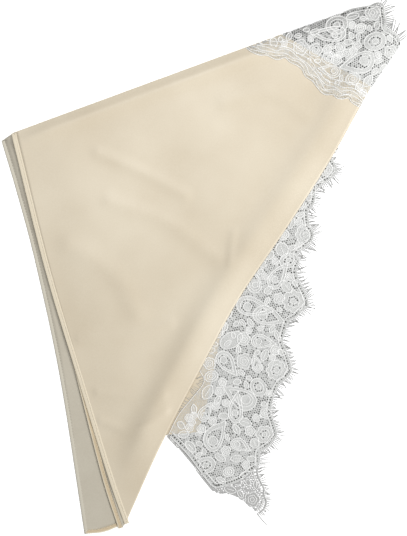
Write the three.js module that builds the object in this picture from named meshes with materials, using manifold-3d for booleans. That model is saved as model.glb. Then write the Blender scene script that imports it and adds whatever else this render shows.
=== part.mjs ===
// A satin wrap with an eyelash lace border, folded flat into four leaves.
// Millimetres, +Z up, +Y towards the folded apex; the origin is under the middle of the outline.
// Leaf 0 lies on the table and leaf 3 is on top. The long fold joins leaf 0 to leaf 3, and leaf 1
// to leaf 2 inside them. The diagonal fold joins leaf 2 to leaf 3.

import * as THREE from "three";
import { mergeVertices } from "three/addons/utils/BufferGeometryUtils.js";
import Module from "manifold-3d";

const wasm = await Module();
wasm.setup();

// Driving dimensions.
const LEAF = 0.9; // one leaf of cloth with its loft
const GAP = 0.5; // air between two leaves
const CLEAR = 0.4; // between pieces that are sewn together
const HEM = 4.5; // width of the double-turned hem
const BAND = 0.8; // lace that laps over the satin
const LAP_RISER = 3; // width of the lace where it steps up onto the satin
const THREAD = 0.5; // sewing thread, square section
const STITCH_INSET = 3.2; // stitch row from a hem's outer edge
const INNER_STITCH_INSET = 0.8; // the same, where the leaf above covers most of the hem
const SEAM_INSET = 1.6; // seam from the edge of the lace on the satin
const TAIL = 0.6; // loose thread end, square section
const GIMP = 1.4; // cord along the scallops
const LASH_PITCH = 4.4;
const LASH_LENGTH = 6.5;
const LASH_WIDTH = 0.9;
const LASH_THICKNESS = 0.5;
const LASH_RISE = 0.2; // of the lashes above the bottom of their leaf
const LASH_LEAN = 2; // how far the lashes share one direction
const LEVEL = LEAF + GAP;
const [UNDER, HIDDEN, INNER, TOP] = [0, 1, 2, 3]; // the leaves, from the table up

const point = (x, y) => new THREE.Vector2(x, y);
const edgeOf = (...pairs) => pairs.map(([x, y]) => point(x, y));

// The long fold runs straight from the squared corner to the apex; satin gives way to lace
// SATIN_SHARE of the way along it.
const CORNER = point(-171, 122);
const APEX = point(150, 239.9);
const SATIN_SHARE = 0.751;
const HEM_SHARE = 0.015; // of the long fold that the side hem takes
const LACE_SHARE_GAP = 0.003; // of the long fold, between satin and lace
const onLongFold = (share) => CORNER.clone().lerp(APEX, share);
const SATIN_END = onLongFold(SATIN_SHARE);
const LONG_FOLD_LENGTH = CORNER.distanceTo(APEX);

// The diagonal fold, from its lace end to the lower tip; satin starts at the second point.
const DIAGONAL = edgeOf(
  [180, 204], [151, 163], [114.5, 97.5], [74, 34.5], [32, -28], [-4, -94], [-38.5, -160.5], [-69.5, -228],
);

// Hemmed sides of the leaves, from the long fold to the lower tip.
const TOP_SIDE = edgeOf([-173, 121], [-143, 0], [-113, -100], [-87.5, -183], [-71, -230]);
const INNER_SIDE = edgeOf([-169, 117], [-139, 0], [-112, -108], [-91.5, -188], [-76.5, -234]);
const HIDDEN_SIDE = edgeOf([-164, 113], [-132, 0], [-102, -100], [-76, -180], [-66, -210]);
const UNDER_SIDE = edgeOf([-182, 114.5], [-167, 64], [-151, 3], [-129, -100], [-107, -240]);
const UNDER_END = edgeOf([-107, -240], [-89, -238], [-72, -231]);
const UNDER_HEAD = [UNDER_SIDE[0], onLongFold(0.02)];

// Where the two lower leaves of satin end, from the long fold to the lower end of the lace.
const UNDER_SATIN_EDGE = [SATIN_END, ...edgeOf([2, -127], [-5, -148], [-38, -150])];

// Lace: its scalloped edges, and its edge on the satin of the top leaf.
const SCALLOPS = edgeOf(
  [112, 97], [121, 89], [97, 62], [100, 34], [84, 2], [95, -30], [72, -62],
  [80, -89], [60, -126], [68, -148], [50, -180], [60, -209], [50, -222],
);
const APEX_SCALLOP = edgeOf([158, 236], [160, 226], [163, 212], [179, 205]);
const LACE_END = edgeOf([50, -222], [29, -206], [5, -197], [-15, -172], [-33, -152]);
const OVERLAY_END = edgeOf([50, -178], [33, -192], [7, -195], [-13, -170], [-31, -151]);
const LAP_EDGE = edgeOf([43, 193], [63, 189], [76, 188], [92, 174], [108, 157], [128, 152], [138, 146]);
const TAIL_RUN = edgeOf([52.4, -225], [54, -230], [58, -233]);

const smooth = (points, perSpan) =>
  new THREE.SplineCurve(points).getPoints(perSpan * (points.length - 1));
const reversed = (edge) => [...edge].reverse();

// An edge moved sideways, to the left of its direction.
function offset(edge, distance) {
  return edge.map((here, i) => {
    const before = edge[Math.max(i - 1, 0)];
    const after = edge[Math.min(i + 1, edge.length - 1)];
    const along = after.clone().sub(before).normalize();
    return point(here.x - along.y * distance, here.y + along.x * distance);
  });
}

// From three.js geometry to a solid that can be joined and cut, and back.
function toSolid(geometry) {
  const plain = geometry.index ? geometry.toNonIndexed() : geometry;
  plain.deleteAttribute("normal");
  plain.deleteAttribute("uv");
  const merged = mergeVertices(plain, 1e-4);
  return new wasm.Manifold(
    new wasm.Mesh({
      numProp: 3,
      vertProperties: merged.attributes.position.array,
      triVerts: new Uint32Array(merged.index.array),
    }),
  );
}

function toGeometry(solid) {
  const mesh = solid.getMesh();
  const geometry = new THREE.BufferGeometry();
  geometry.setAttribute("position", new THREE.BufferAttribute(mesh.vertProperties, 3));
  geometry.setIndex(new THREE.BufferAttribute(mesh.triVerts, 1));
  geometry.computeVertexNormals();
  return geometry;
}

const join = (solids) => solids.reduce((whole, solid) => whole.add(solid));

// Cuts the solids out, and drops the slivers that are left beside the piece.
function cut(whole, solids) {
  const rest = solids.reduce((left, solid) => left.subtract(solid), whole);
  return rest.decompose().reduce((best, body) => (body.volume() > best.volume() ? body : best));
}

// A flat piece with this outline, between two heights.
function plate(outline, bottom, top) {
  const shape = new THREE.Shape(outline);
  const geometry = new THREE.ExtrudeGeometry(shape, { depth: top - bottom, bevelEnabled: false });
  return toSolid(geometry.translate(0, 0, bottom));
}

const leafPlate = (outline, leaf) => plate(outline, leaf * LEVEL, leaf * LEVEL + LEAF);

// A strip along the left of an edge.
const strip = (edge, inset, width, bottom, top) =>
  plate([...offset(edge, inset), ...reversed(offset(edge, inset + width))], bottom, top);

// A half-round turn of cloth that joins two leaves along a line and bulges to the line's left.
function turn(line, lower, upper) {
  const outer = ((upper - lower) * LEVEL + LEAF) / 2;
  const inner = outer - LEAF;
  const tail = -0.6; // runs into the leaves
  const section = new THREE.Shape();
  section.moveTo(-outer, tail);
  section.lineTo(-inner, tail);
  section.absarc(0, 0, inner, Math.PI, 0, true);
  section.lineTo(inner, tail);
  section.lineTo(outer, tail);
  section.absarc(0, 0, outer, 0, Math.PI, false);
  const height = ((upper + lower) * LEVEL + LEAF) / 2;
  const route = new THREE.CatmullRomCurve3(line.map((p) => new THREE.Vector3(p.x, p.y, height)));
  const steps = line.length > 2 ? 3 * (line.length - 1) : 1;
  return toSolid(new THREE.ExtrudeGeometry(section, { curveSegments: 5, steps, extrudePath: route }));
}

// Hems. With spare, the space that a hem needs in the satin.
const topSide = smooth(TOP_SIDE, 3);
const innerSide = smooth(INNER_SIDE, 3);
const underSide = smooth(UNDER_SIDE, 3);

function hem(edge, leaf, spare, width = HEM) {
  const room = Math.sign(width) * spare;
  const bottom = leaf * LEVEL;
  return strip(edge, -room, width + 2 * room, bottom - spare, bottom + LEAF + spare);
}

const sideHem = (spare = 0) =>
  join([
    hem(topSide, TOP, spare),
    hem(underSide, UNDER, spare),
    hem(UNDER_HEAD, UNDER, spare, -HEM),
    turn([onLongFold(0), onLongFold(HEM_SHARE + spare / LONG_FOLD_LENGTH)], UNDER, TOP),
  ]);
const innerHem = (spare = 0) => hem(innerSide, INNER, spare);
const endHem = (spare = 0) => cut(hem(UNDER_END, UNDER, spare), [hem(underSide, UNDER, CLEAR - spare)]);

// The satin cloth: four leaves and the folds between them, less its hems.
function satinPanel() {
  const diagonal = smooth(DIAGONAL.slice(1), 3);
  const upper = (side) => [...side, ...reversed(diagonal), SATIN_END];
  const lower = (side, end) => [...side, ...end, ...reversed(UNDER_SATIN_EDGE)];
  const longFold = [onLongFold(HEM_SHARE), SATIN_END];
  const whole = join([
    leafPlate(upper(topSide), TOP),
    leafPlate(upper(innerSide), INNER),
    leafPlate(lower(smooth(HIDDEN_SIDE, 3), []), HIDDEN),
    leafPlate(lower(underSide, UNDER_END.slice(1)), UNDER),
    turn(longFold, UNDER, TOP),
    turn(longFold, HIDDEN, INNER),
    turn(DIAGONAL.slice(1), INNER, TOP),
  ]);
  return cut(whole, [sideHem(CLEAR), innerHem(CLEAR), endHem(CLEAR)]);
}

// The lace: one border that goes round both folds with the satin.
const LAP_BOTTOM = TOP * LEVEL + LEAF + CLEAR;
const LAP_TOP = LAP_BOTTOM + BAND;
const LAP_JOIN = 0.2; // inset of the step from the satin's edge
const HIDDEN_RUN = 40; // scallop points that the hidden leaf shares with the under leaf
const HIDDEN_INSET = -1; // of its scallops from theirs
const scallops = smooth(SCALLOPS, 4);
const hiddenScallops = offset(scallops.slice(0, HIDDEN_RUN), HIDDEN_INSET);
const apexScallop = smooth(APEX_SCALLOP, 4);
const lapEdge = smooth(LAP_EDGE, 3);

function laceBorder() {
  const start = SATIN_SHARE + LACE_SHARE_GAP;
  const lap = [...offset([SATIN_END, DIAGONAL[1]], CLEAR)];
  const upper = [onLongFold(start), onLongFold(1), ...apexScallop, DIAGONAL[0], lap[1]];
  const lower = (outer, end) => [
    ...offset(reversed(UNDER_SATIN_EDGE), -CLEAR),
    onLongFold(start),
    ...outer,
    ...end,
  ];
  const folds = [onLongFold(start), onLongFold(1)];
  return join([
    leafPlate(upper, TOP),
    leafPlate(upper, INNER),
    leafPlate(lower([onLongFold(1), ...scallops], LACE_END), UNDER),
    leafPlate(lower([onLongFold(1), ...hiddenScallops], OVERLAY_END), HIDDEN),
    turn(folds, UNDER, TOP),
    turn(folds, HIDDEN, INNER),
    turn([DIAGONAL[0], lap[1]], INNER, TOP),
    strip(lap, LAP_JOIN, LAP_RISER, TOP * LEVEL + LEAF / 2, LAP_TOP),
    plate([...lapEdge, ...reversed(offset(lap, LAP_RISER / 2))], LAP_BOTTOM, LAP_TOP),
  ]);
}

// The cord along a scalloped edge, with the lashes that stand out from it.
function lashEdge(edgePoints, leaf, lean) {
  const bottom = leaf * LEVEL;
  const rise = bottom + LASH_RISE;
  const edge = new THREE.SplineCurve(edgePoints);
  const count = Math.round(edge.getLength() / LASH_PITCH);
  const fixed = point(Math.cos(lean), Math.sin(lean)).multiplyScalar(LASH_LEAN);
  const lashes = Array.from({ length: count - 1 }, (_, i) => {
    const u = (i + 1) / count;
    const base = edge.getPointAt(u);
    const along = edge.getTangentAt(u);
    const out = point(-along.y, along.x).add(fixed).normalize();
    const from = base.clone().addScaledVector(out, CLEAR + GIMP / 2);
    const to = base.clone().addScaledVector(out, CLEAR + GIMP + LASH_LENGTH);
    return strip([from, to], -LASH_WIDTH / 2, LASH_WIDTH, rise, rise + LASH_THICKNESS);
  });
  const cord = strip(edge.getPoints(4 * (edgePoints.length - 1)), CLEAR, GIMP, bottom, bottom + LEAF);
  return join([cord, ...lashes]);
}

// A row of stitches: one thread along an edge, on top of its cloth.
const stitches = (edge, inset, base) => strip(edge, inset, THREAD, base + CLEAR, base + CLEAR + THREAD);
const onLeaf = (leaf) => leaf * LEVEL + LEAF;
const exposed = (edge) => edge.slice(-5); // the part that no leaf covers

const object = new THREE.Group();

function piece(name, solid, color, roughness) {
  const material = new THREE.MeshStandardMaterial({ color, roughness, metalness: 0 });
  const mesh = new THREE.Mesh(toGeometry(solid), material);
  mesh.name = name;
  object.add(mesh);
}

const SATIN = [0xd9ccb8, 0.38];
const HEM_SATIN = [0xe2d6b8, 0.42];
const LACE = [0xd8d8d3, 0.75];
const COTTON = [0xefe6cc, 0.7];

piece("satin_panel", satinPanel(), ...SATIN);
piece("side_hem", sideHem(), ...HEM_SATIN);
piece("inner_hem", innerHem(), ...HEM_SATIN);
piece("end_hem", endHem(), ...HEM_SATIN);
piece("lace_border", laceBorder(), ...LACE);
piece("lash_edge_long", lashEdge(SCALLOPS, UNDER, -0.2), ...LACE);
piece("lash_edge_apex", lashEdge(APEX_SCALLOP, TOP, 0.5), ...LACE);
piece("side_hem_stitches", stitches(topSide, STITCH_INSET, onLeaf(TOP)), ...COTTON);
piece("inner_hem_stitches", stitches(exposed(innerSide), INNER_STITCH_INSET, onLeaf(INNER)), ...COTTON);
piece("end_hem_stitches", stitches(UNDER_END, STITCH_INSET, onLeaf(UNDER)), ...COTTON);
piece("lace_seam_stitches", stitches(lapEdge, SEAM_INSET, LAP_TOP), ...COTTON);
piece("thread_tail", strip(smooth(TAIL_RUN, 3), 0, TAIL, 0, TAIL), ...COTTON);

export default object;
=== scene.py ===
"""Looks of a satin wrap with an eyelash lace border, folded flat into four leaves.

Plan shapes are in millimetres in the part's frame, and become metres when a mesh is made.
Leaf 0 lies on the table and leaf 3 is on top. The long fold joins leaf 0 to leaf 3, and leaf 1 to
leaf 2 inside them. The diagonal fold joins leaf 2 to leaf 3.
"""

import math

import bpy
import numpy as np
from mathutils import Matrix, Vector, noise


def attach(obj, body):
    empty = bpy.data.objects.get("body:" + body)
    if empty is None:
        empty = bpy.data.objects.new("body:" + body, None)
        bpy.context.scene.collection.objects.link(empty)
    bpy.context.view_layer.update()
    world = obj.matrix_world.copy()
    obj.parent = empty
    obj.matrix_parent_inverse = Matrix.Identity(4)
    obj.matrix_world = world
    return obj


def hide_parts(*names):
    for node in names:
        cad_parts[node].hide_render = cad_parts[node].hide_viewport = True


bl_info = {
    "name": "Folded Lace Wrap",
    "version": (1, 0, 0),
    "blender": (4, 5, 0),
    "location": "View3D > Sidebar > Lace Wrap",
    "description": "Builds a folded satin wrap with a lace border around its CAD frame",
    "category": "Add Mesh",
}

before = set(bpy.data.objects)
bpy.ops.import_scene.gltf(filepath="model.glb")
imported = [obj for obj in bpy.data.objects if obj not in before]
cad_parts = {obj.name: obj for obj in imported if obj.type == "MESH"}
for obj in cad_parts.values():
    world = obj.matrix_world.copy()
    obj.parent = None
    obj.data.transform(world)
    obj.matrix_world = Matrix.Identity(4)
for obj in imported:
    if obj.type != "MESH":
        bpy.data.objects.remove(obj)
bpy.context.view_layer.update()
MM = 0.001
SEED = 7

# ---------------------------------------------------------------- plan of the folded cloth, in mm


def pts(*pairs):
    return np.array(pairs, float)


CORNER, APEX = pts((-171, 122), (150, 239.9))
SATIN_SHARE = 0.751  # of the long fold that is satin; the rest is lace
SATIN_END = CORNER + (APEX - CORNER) * SATIN_SHARE
DIAGONAL = pts(
    (180, 204), (151, 163), (114.5, 97.5), (74, 34.5), (32, -28), (-4, -94), (-38.5, -160.5), (-69.5, -229),
)
TOP_SIDE = pts((-173, 121), (-143, 0), (-113, -100), (-87.5, -183), (-71, -231))
INNER_SIDE = pts((-169, 117), (-139, 0), (-112, -108), (-91.5, -188), (-76.5, -235))
HIDDEN_SIDE = pts((-164, 113), (-132, 0), (-102, -100), (-76, -180), (-66, -210))
UNDER_SIDE = pts((-182, 114.5), (-167, 64), (-151, 3), (-129, -100), (-107, -240))
UNDER_END = pts((-107, -240), (-89, -238), (-72, -231))
UNDER_SATIN_EDGE = pts(SATIN_END, (2, -127), (-5, -148), (-38, -150))

LONG_EDGE = pts(
    (158, 236), (160, 222), (150, 205), (153, 190), (140, 172), (138, 155), (124, 140), (124, 125),
    (112, 112), (115.7, 99.7), (119.2, 93.7), (120.9, 87.8), (117.5, 82.5), (112.2, 78.2), (107.1, 74.8),
    (101.9, 69.7), (101.1, 62.7), (99.4, 56.7), (95, 51.6), (95, 46.4), (95.9, 39.5), (98.9, 33.5),
    (99.8, 28.3), (96.8, 22.2), (90.7, 17.1), (85.5, 12.8), (86.9, 5.9), (84.6, -1), (85.5, -7.9),
    (89, -15.7), (91.2, -19.4), (94.4, -27.4), (94.8, -34.7), (89.6, -38.6), (83.2, -45.1), (76.7, -49.1),
    (74.3, -57.2), (71.9, -64.4), (72.7, -69.2), (75.1, -74), (78.3, -83.6), (79.9, -90.1), (79.1, -94.9),
    (74.3, -100.5), (68.7, -105.3), (66.2, -110.2), (63.8, -115.7), (61.7, -123.8), (61.2, -130.1),
    (64.4, -140), (66.6, -148), (65.7, -152.6), (61.7, -158.4), (56.2, -163.2), (51.3, -166.4),
    (51.3, -172.8), (50.4, -179.3), (49.3, -184), (52.1, -192.2), (55.4, -198.5), (55.4, -204.2),
    (57.6, -210.6), (56.2, -216.3), (52.9, -220.2), (49.7, -222.7),
)
LONG_EDGE_SHOWN = 9  # the first point of the long edge that no leaf covers
APEX_EDGE = pts(
    (126, 231), (135.1, 234.3), (148.4, 236.4), (154.1, 238.6), (158.6, 238.6), (162.4, 235.6),
    (162.9, 229), (164.2, 222.8), (164.2, 216.4), (169.2, 213.2), (174.9, 208.8), (178.6, 203.1),
)
LACE_END = pts((50, -222), (29, -206), (12, -203), (4, -196), (-15, -172), (-33, -152))
OVERLAY_END = pts((50.4, -179.3), (43, -184), (33, -192), (18, -197), (7, -196), (-13, -170), (-31, -151))
LACE_INNER = pts(
    (-31, -151), (-22, -133), (-10, -118), (1, -103), (-3, -92), (-9, -82), (0, -56), (24, -6), (70, 204),
)
LAP_EDGE = pts(  # the edge of the lace that is sewn over the satin at the top corner
    (38.5, 198.4), (43.7, 194.2), (50.4, 191.3), (57.4, 191.3), (66.3, 187.4), (73.3, 189.4),
    (78.1, 185.4), (84.1, 182.4), (89.1, 178.5), (92, 172.5), (97.9, 168.6), (101.9, 163.6),
    (106.8, 157.8), (110.7, 155.8), (116.6, 155.8), (119.7, 152.8), (124.6, 151.8), (130.5, 152.8),
    (133.5, 148.9), (140.4, 144.9),
)

# Heights and reaches, in mm.
CLOTH = 0.28  # height of the lowest leaf's upper face
FLAT_GAP = 0.5  # from leaf to leaf where the cloth lies flat
LOFT = 0.5  # added to the gap where the cloth lies loosely
LACE_LOFT = 0.5  # share of the loft where only lace lies
DIAGONAL_TURN = 1.5  # from the diagonal fold to the full height of its leaves
DIAGONAL_REACH = 24.0  # from the diagonal fold to the full loft
HEM_LOFT, HEM_REACH = 0.25, 46.0  # share of the loft left at the hem, and how far from it that ends
TIP_LOFT, TIP_REACH = 0.35, 110.0  # the same at the lower tip
CREST, CREST_AT = 3.4, 18.0  # height of the soft crest beside the diagonal fold, and where it is
CREST_WIDTH, CREST_FALL = 13.0, 20.0  # its width away from the fold and towards it
ROLL, ROLL_AT, ROLL_WIDTH = 2.3, 9.5, 6.5  # the long fold does not lie quite flat
LONG_FOLD_REACH = 11.0  # from the long fold to the full height of its leaves
INNER_FOLD_SHARE, INNER_FOLD_INSET = 0.5, 2.2  # reach and inset of the fold inside the long fold
INWARD = np.array([0.34, -0.94])  # from the long fold into the cloth
ROUND_SHARE = 0.45  # how much of the long fold's fall is round; the rest is softer

CHUNK = 4000  # points measured at a time, to spare memory


def spline(points, per_span=12):
    """A Catmull-Rom curve through the points."""
    p = np.vstack([2 * points[0] - points[1], points, 2 * points[-1] - points[-2]])
    t = np.linspace(0, 1, per_span, endpoint=False)[:, None]
    spans = [
        0.5 * (2 * b + (c - a) * t + (2 * a - 5 * b + 4 * c - d) * t**2 + (3 * b - a - 3 * c + d) * t**3)
        for a, b, c, d in zip(p[:-3], p[1:-2], p[2:-1], p[3:])
    ]
    return np.vstack([*spans, points[-1:]])


def run_lengths(line):
    """The length along the line up to each of its points."""
    return np.concatenate([[0], np.cumsum(np.linalg.norm(np.diff(line, axis=0), axis=1))])


def points_at(line, along, at):
    return np.stack([np.interp(at, along, line[:, k]) for k in range(line.shape[1])], axis=1)


def spaced(line, step):
    """The line again, with evenly spaced points about a step apart."""
    along = run_lengths(line)
    count = max(2, int(round(along[-1] / step)) + 1)
    return points_at(line, along, np.linspace(0, along[-1], count))


def sampled(line, shares):
    """Points at these shares of the line's length."""
    along = run_lengths(line)
    return points_at(line, along, np.asarray(shares) * along[-1])


def looped(line):
    """The line with its first point again at its end."""
    return np.vstack([line, line[:1]])


def unit(rows):
    return rows / np.maximum(np.linalg.norm(rows, axis=1, keepdims=True), 1e-9)


def rotation(degrees):
    """Turns rows of plan points anticlockwise when they are multiplied by it."""
    angle = math.radians(degrees)
    return np.array([[math.cos(angle), math.sin(angle)], [-math.sin(angle), math.cos(angle)]])


def normals(line):
    """The left-hand normal at each point of a plan line."""
    along = unit(np.gradient(line, axis=0))
    return np.stack([-along[:, 1], along[:, 0]], axis=1)


def distance(points, line):
    """How far each plan point is from a plan line."""
    a, d = line[:-1], np.diff(line, axis=0)
    best = np.full(len(points), 1e9)
    length = np.maximum((d * d).sum(1), 1e-12)
    for start in range(0, len(points), CHUNK):
        p = points[start : start + CHUNK, None, :] - a[None]
        t = np.clip((p * d).sum(2) / length, 0, 1)
        best[start : start + CHUNK] = np.sqrt(((p - t[..., None] * d) ** 2).sum(2)).min(1)
    return best


def inside(points, outline):
    """Which plan points are inside a closed outline."""
    a, b = outline, np.roll(outline, -1, axis=0)
    rise = np.where(np.abs(b[:, 1] - a[:, 1]) < 1e-12, 1e-12, b[:, 1] - a[:, 1])
    result = np.zeros(len(points), bool)
    for start in range(0, len(points), CHUNK):
        part = slice(start, start + CHUNK)
        x, y = points[part, :1], points[part, 1:2]
        crosses = (a[:, 1] > y) != (b[:, 1] > y)
        at = (b[:, 0] - a[:, 0]) * (y - a[:, 1]) / rise + a[:, 0]
        result[part] = (crosses & (x < at)).sum(1) % 2 == 1
    return result


def ease(x):
    x = np.clip(x, 0, 1)
    return x * x * (3 - 2 * x)


DIAGONAL_LINE = spline(DIAGONAL)
LONG_FOLD = np.stack([CORNER, APEX])
CREASES = [  # line, height and half width of each soft crease in the top leaf
    (pts((-95, 104), (-55, 86), (-16, 66)), 0.9, 5.0),
    (pts((-84, 60), (-30, 40), (12, 10)), 0.8, 7.0),
    (pts((-111, -64), (-70, -62), (-30, -50)), 0.7, 4.5),
    (pts((-95, -112), (-66, -115), (-36, -114)), 0.7, 4.0),
    (pts((-92, -138), (-63, -146), (-34, -130)), 0.8, 4.0),
    (pts((27, 32), (25, 18), (24, 5)), 0.6, 3.5),
    (pts((20, 150), (60, 158), (92, 140)), 1.0, 8.0),
    (pts((-120, 20), (-80, -5), (-60, -40)), 1.0, 10.0),
]


def waves(points, size, seed):
    """Smooth noise from -1 to 1 over the plan."""
    return np.array([noise.noise(Vector((x / size, y / size, seed))) for x, y in points])


def leaf_height(points, leaf):
    """The height of a leaf over plan points, in mm, with the falls at its folds."""
    to_diagonal = distance(points, DIAGONAL_LINE)
    to_long = distance(points, LONG_FOLD)
    to_hem = distance(points, spline(TOP_SIDE))
    beyond = points[:, 0] > np.interp(points[:, 1], DIAGONAL_LINE[::-1, 1], DIAGONAL_LINE[::-1, 0])
    from_tip = points[:, 1] - DIAGONAL[-1, 1]
    rise = HEM_LOFT + (1 - HEM_LOFT) * ease(to_hem / HEM_REACH)
    rise = rise * (TIP_LOFT + (1 - TIP_LOFT) * ease(from_tip / TIP_REACH))
    loft = LOFT * ease(to_diagonal / DIAGONAL_REACH) * rise * np.where(beyond, LACE_LOFT, 1)
    loft = loft * (1 + 0.45 * waves(points, 75, 3.1) + 0.2 * waves(points, 34, 9.7))
    gap = FLAT_GAP + loft
    level = CLOTH + leaf * gap
    if leaf == 3:
        for line, height, width in CREASES:
            away = distance(points, spline(line)) / width
            level = level + height * np.exp(-(away**2))
        from_crest = to_diagonal - CREST_AT
        crest = CREST * np.exp(-((from_crest / np.where(from_crest > 0, CREST_WIDTH, CREST_FALL)) ** 2))
        level = level + rise * np.where(beyond, 0, crest) * (1 + 0.5 * waves(points, 90, 5.5))
        roll = ROLL * np.exp(-(((to_long - ROLL_AT) / ROLL_WIDTH) ** 2)) * ease(to_hem / HEM_REACH + 0.3)
        level = level + roll * (1 + 0.4 * waves(points, 60, 2.2))
    if leaf in (2, 3):
        turn = np.clip(to_diagonal / DIAGONAL_TURN, 0, 1)
        level = level + (CLOTH + 2.5 * gap - level) * (1 - np.sqrt(1 - (1 - turn) ** 2))
    middle = CLOTH + 1.5 * gap
    outer = leaf in (0, 3)
    reach = LONG_FOLD_REACH * (1 if outer else INNER_FOLD_SHARE)
    inset = 0 if outer else INNER_FOLD_INSET
    t = np.clip((to_long - inset) / reach, 0, 1)
    fall = 1 - (1 - t) ** 2
    return middle + (level - middle) * (ROUND_SHARE * np.sqrt(fall) + (1 - ROUND_SHARE) * fall)


# ---------------------------------------------------------------- mesh helpers


def new_mesh(name, verts, faces, materials, smooth=True, face_material=None):
    """An object from points in mm and lists of vertex indices, riding on the only body."""
    mesh = bpy.data.meshes.new(name)
    mesh.from_pydata([tuple(v) for v in np.asarray(verts) * MM], [], faces)
    for material in materials:
        mesh.materials.append(material)
    if face_material is not None:
        mesh.polygons.foreach_set("material_index", face_material)
    if smooth:
        mesh.polygons.foreach_set("use_smooth", [True] * len(mesh.polygons))
    mesh.validate()
    obj = bpy.data.objects.new(name, mesh)
    bpy.context.scene.collection.objects.link(obj)
    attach(obj, "root")
    return obj


def apply_modifiers(obj):
    evaluated = obj.evaluated_get(bpy.context.evaluated_depsgraph_get())
    mesh = bpy.data.meshes.new_from_object(evaluated)
    obj.modifiers.clear()
    old = obj.data
    obj.data = mesh
    bpy.data.meshes.remove(old)


class Tubes:
    """Many round threads gathered into one mesh."""

    def __init__(self):
        self.verts, self.faces, self.count = [], [], 0

    def add(self, line, radius, sides=5, closed=False):
        """A thread along points in mm; radius is one number or one for each point."""
        line = np.asarray(line, float)
        n = len(line)
        if closed:
            along = np.roll(line, -1, axis=0) - np.roll(line, 1, axis=0)
        else:
            along = np.gradient(line, axis=0)
        along = unit(along)
        side = unit(np.cross(along, (0, 0, 1)))
        up = np.cross(side, along)
        turn = np.arange(sides) * 2 * math.pi / sides
        radius = np.broadcast_to(np.asarray(radius, float), (n,))[:, None, None]
        ring = side[:, None] * np.cos(turn)[None, :, None] + up[:, None] * np.sin(turn)[None, :, None]
        self.verts.append((line[:, None] + ring * radius).reshape(-1, 3))
        start = self.count
        for i in range(n if closed else n - 1):
            j = (i + 1) % n
            for k in range(sides):
                m = (k + 1) % sides
                here, there = start + i * sides, start + j * sides
                self.faces.append((here + k, here + m, there + m, there + k))
        if not closed:
            self.faces.append(tuple(start + k for k in reversed(range(sides))))
            self.faces.append(tuple(start + (n - 1) * sides + k for k in range(sides)))
        self.count += n * sides

    def make(self, name, material):
        return new_mesh(name, np.vstack(self.verts), self.faces, [material])


# ---------------------------------------------------------------- materials


def shader_group(name, inputs, outputs):
    """An empty node group with these sockets, and its input and output nodes."""
    group = bpy.data.node_groups.new(name, "ShaderNodeTree")
    for label, kind, value in inputs:
        socket = group.interface.new_socket(label, in_out="INPUT", socket_type=kind)
        socket.default_value = value
    for label, kind in outputs:
        group.interface.new_socket(label, in_out="OUTPUT", socket_type=kind)
    return group, group.nodes.new("NodeGroupInput"), group.nodes.new("NodeGroupOutput")


def mottle_group():
    """Broad and fine colour changes between two colours, as in dyed cloth and thread."""
    colour, value = "NodeSocketColor", "NodeSocketFloat"
    group, source, result = shader_group(
        "Mottled Colour",
        [
            ("Colour", colour, (0.8, 0.8, 0.8, 1)),
            ("Shade", colour, (0.6, 0.6, 0.6, 1)),
            ("Broad Scale", value, 18.0),
            ("Fine Scale", value, 900.0),
            ("Fine Share", value, 0.3),
        ],
        [("Colour", colour), ("Mask", value)],
    )
    nodes, link = group.nodes, group.links.new
    place = nodes.new("ShaderNodeTexCoord")
    broad, fine = nodes.new("ShaderNodeTexNoise"), nodes.new("ShaderNodeTexNoise")
    broad.inputs["Detail"].default_value = 3
    fine.inputs["Detail"].default_value = 1
    blend = nodes.new("ShaderNodeMix")
    spread = nodes.new("ShaderNodeMapRange")
    spread.inputs["From Min"].default_value, spread.inputs["From Max"].default_value = 0.32, 0.68
    mix = nodes.new("ShaderNodeMix")
    mix.data_type = "RGBA"
    link(place.outputs["Object"], broad.inputs["Vector"])
    link(place.outputs["Object"], fine.inputs["Vector"])
    link(source.outputs["Broad Scale"], broad.inputs["Scale"])
    link(source.outputs["Fine Scale"], fine.inputs["Scale"])
    link(source.outputs["Fine Share"], blend.inputs[0])
    link(broad.outputs["Fac"], blend.inputs[2])
    link(fine.outputs["Fac"], blend.inputs[3])
    link(blend.outputs[0], spread.inputs["Value"])
    link(spread.outputs["Result"], mix.inputs[0])
    link(source.outputs["Shade"], mix.inputs[6])
    link(source.outputs["Colour"], mix.inputs[7])
    link(mix.outputs[2], result.inputs["Colour"])
    link(spread.outputs["Result"], result.inputs["Mask"])
    return group


def weave_group():
    """Height of crossed threads, broken up a little."""
    value = "NodeSocketFloat"
    group, source, result = shader_group(
        "Woven Threads",
        [("Thread Scale", value, 900.0), ("Cross Share", value, 0.5), ("Unevenness", value, 1.5)],
        [("Height", value)],
    )
    nodes, link = group.nodes, group.links.new
    place = nodes.new("ShaderNodeTexCoord")
    mix = nodes.new("ShaderNodeMix")
    for direction, socket in (("X", 2), ("Y", 3)):
        wave = nodes.new("ShaderNodeTexWave")
        wave.bands_direction = direction
        wave.inputs["Detail"].default_value = 1
        link(place.outputs["Object"], wave.inputs["Vector"])
        link(source.outputs["Thread Scale"], wave.inputs["Scale"])
        link(source.outputs["Unevenness"], wave.inputs["Distortion"])
        link(wave.outputs["Fac"], mix.inputs[socket])
    link(source.outputs["Cross Share"], mix.inputs[0])
    link(mix.outputs[0], result.inputs["Height"])
    return group


GROUPS = {}


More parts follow.
